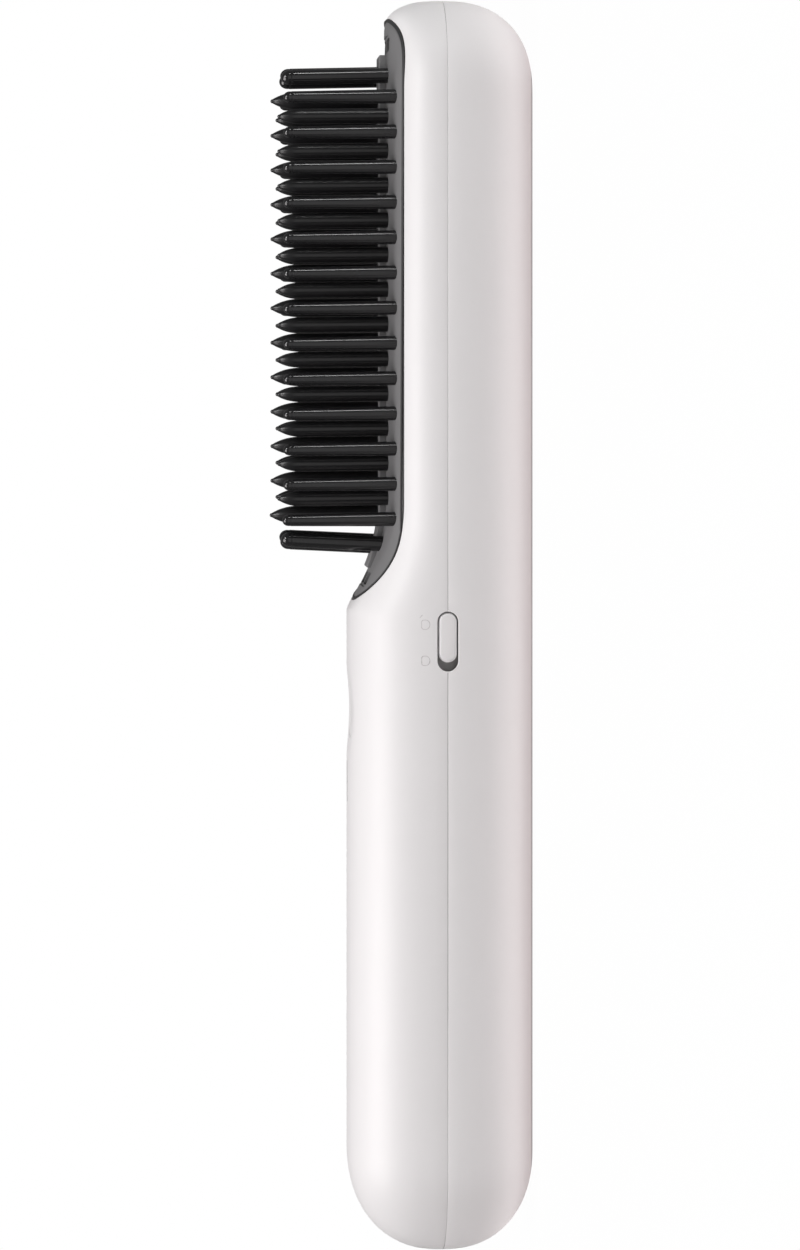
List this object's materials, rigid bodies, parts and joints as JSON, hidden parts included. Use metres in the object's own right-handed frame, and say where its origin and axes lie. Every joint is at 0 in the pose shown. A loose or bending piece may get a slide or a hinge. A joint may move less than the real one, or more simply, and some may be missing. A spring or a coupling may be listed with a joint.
{
  "type": "cordless hair straightening comb",
  "caption": "Cordless hot comb: slim rounded body in two moulded halves, rows of heated and guard teeth on a grey base, power button, sliding travel lock and charging inlet.",
  "frame": {"origin": "under the middle of the body, on the surface that the comb lies on, back down", "axes": "+X towards the head end, +Z along the teeth, -Y is the side with the lock switch"},
  "size_m": [0.2299, 0.038, 0.0482],
  "materials": {
    "shell": "satin pinkish-white moulded plastic",
    "base": "fine matte grey plastic",
    "heated_tooth": "glossy near-black ceramic coating on metal",
    "guard_tooth": "glossy near-black heat-proof plastic",
    "plate": "die-cast aluminium",
    "ceramic": "bare ceramic",
    "mica": "mica sheet",
    "steel": "plated steel",
    "sensor": "epoxy bead",
    "frame_plastic": "moulded inner frame",
    "cell_wrap": "shrink-wrapped cell",
    "foam": "closed foam strip",
    "board": "green circuit board",
    "component": "black component bodies",
    "plunger": "plain plastic",
    "lens": "milky light window",
    "led": "small light-emitting diodes",
    "port": "stamped plated steel",
    "wire_red": "silicone wire",
    "wire_blue": "silicone wire",
    "wire_grey": "silicone wire"
  },
  "bodies": {
    "housing": {"back_shell": "shell", "front_shell": "shell", "comb_base": "base", "heated_teeth": "heated_tooth", "guard_teeth": "guard_tooth", "heating_plate": "plate", "ptc_heater": "ceramic", "mica_sheet": "mica", "heater_clamp": "steel", "plate_screws": "steel", "thermistor": "sensor", "thermal_fuse": "ceramic", "inner_frame": "frame_plastic", "frame_screws": "steel", "battery_cell": "cell_wrap", "battery_tabs": "steel", "battery_pad": "foam", "control_board": "board", "board_parts": "component", "board_screws": "steel", "tact_switch": "component", "indicator_lens": "lens", "indicator_leds": "led", "slide_switch": "steel", "lock_board": "board", "usb_port": "port", "charge_board": "board", "heater_leads": "wire_red", "battery_leads": "wire_red", "charge_leads": "wire_blue", "sensor_leads": "wire_grey", "lock_leads": "wire_grey"},
    "button": {"power_button": "shell", "tact_plunger": "plunger"},
    "lock": {"lock_slider": "shell", "slide_lever": "component"}
  },
  "joints": [
    {"name": "power_press", "type": "slide", "parent": "housing", "child": "button", "axis": [0, 0, -1], "range_m": [0, 0.0004], "stiffness_N_per_m": 1500},
    {"name": "lock_slide", "type": "slide", "parent": "housing", "child": "lock", "axis": [-1, 0, 0], "range_m": [0, 0.0014]}
  ]
}
